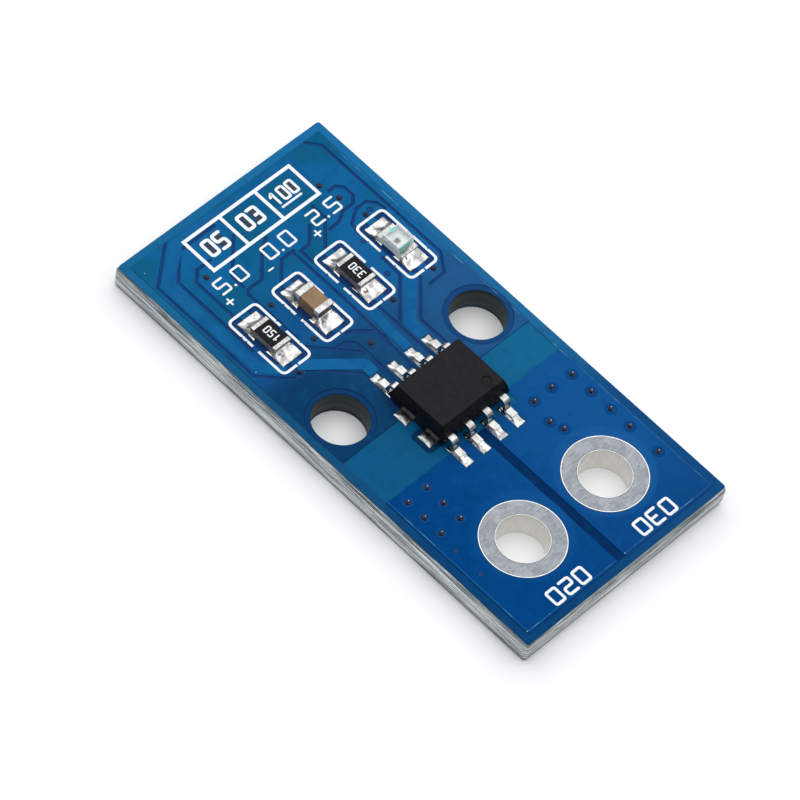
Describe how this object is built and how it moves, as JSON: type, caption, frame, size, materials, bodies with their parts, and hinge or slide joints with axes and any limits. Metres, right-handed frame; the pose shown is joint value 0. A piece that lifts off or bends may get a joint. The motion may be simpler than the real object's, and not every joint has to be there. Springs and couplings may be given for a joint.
{
  "type": "hall effect current sensor",
  "caption": "Small rectangular sensor board: a chip bridges two current planes with ring terminals, beside a row of small parts, plain mounting holes and a printed header box.",
  "frame": {"origin": "middle of the board's outline, on its underside", "axes": "+X along the board from the header end to the two current terminals, +Y across the board towards the terminal for the current that enters, +Z out of the component face"},
  "size_m": [0.0302, 0.0148, 0.0032],
  "materials": {
    "laminate": "woven glass and epoxy, broken edge",
    "copper": "bare copper under lacquer",
    "mask_face": "blue lacquer",
    "mask_back": "blue lacquer",
    "print": "white printed ink",
    "terminal_tin": "tinned copper",
    "solder": "reflowed solder",
    "moulding": "black moulding compound",
    "lead": "tinned copper strip",
    "film": "amber insulating film",
    "die": "polished silicon",
    "ceramic": "white alumina",
    "glaze": "black glaze",
    "capacitor": "tan ceramic",
    "end_metal": "tinned end",
    "lamp_base": "white laminate",
    "lamp_lens": "clear resin",
    "lamp_die": "bare die"
  },
  "bodies": {
    "root": {"circuit_board": "laminate", "terminal_in": "terminal_tin", "terminal_out": "terminal_tin", "current_path_in": "copper", "current_path_out": "copper", "signal_copper": "copper", "solder_mask_face": "mask_face", "solder_mask_back": "mask_back", "printed_part_outlines": "print", "printed_header_box": "print", "chip_housing": "moulding", "chip_current_loop": "lead", "chip_film": "film", "chip_die": "die", "chip_lead_5": "lead", "chip_lead_6": "lead", "chip_lead_7": "lead", "chip_lead_8": "lead", "lamp_base": "lamp_base", "lamp_die": "lamp_die", "lamp_lens": "lamp_lens", "lamp_terminal_1": "end_metal", "lamp_terminal_2": "end_metal", "resistor_1_core": "ceramic", "resistor_1_glaze": "glaze", "resistor_1_end_1": "end_metal", "resistor_1_end_2": "end_metal", "resistor_2_core": "ceramic", "resistor_2_glaze": "glaze", "resistor_2_end_1": "end_metal", "resistor_2_end_2": "end_metal", "capacitor_body": "capacitor", "capacitor_end_1": "end_metal", "capacitor_end_2": "end_metal", "lamp_solder": "solder", "resistor_1_solder": "solder", "capacitor_solder": "solder", "resistor_2_solder": "solder", "solder_pin_1": "solder", "solder_pin_2": "solder", "solder_pin_3": "solder", "solder_pin_4": "solder", "solder_pin_5": "solder", "solder_pin_6": "solder", "solder_pin_7": "solder", "solder_pin_8": "solder", "spare_pad_tin": "solder"}
  },
  "joints": []
}
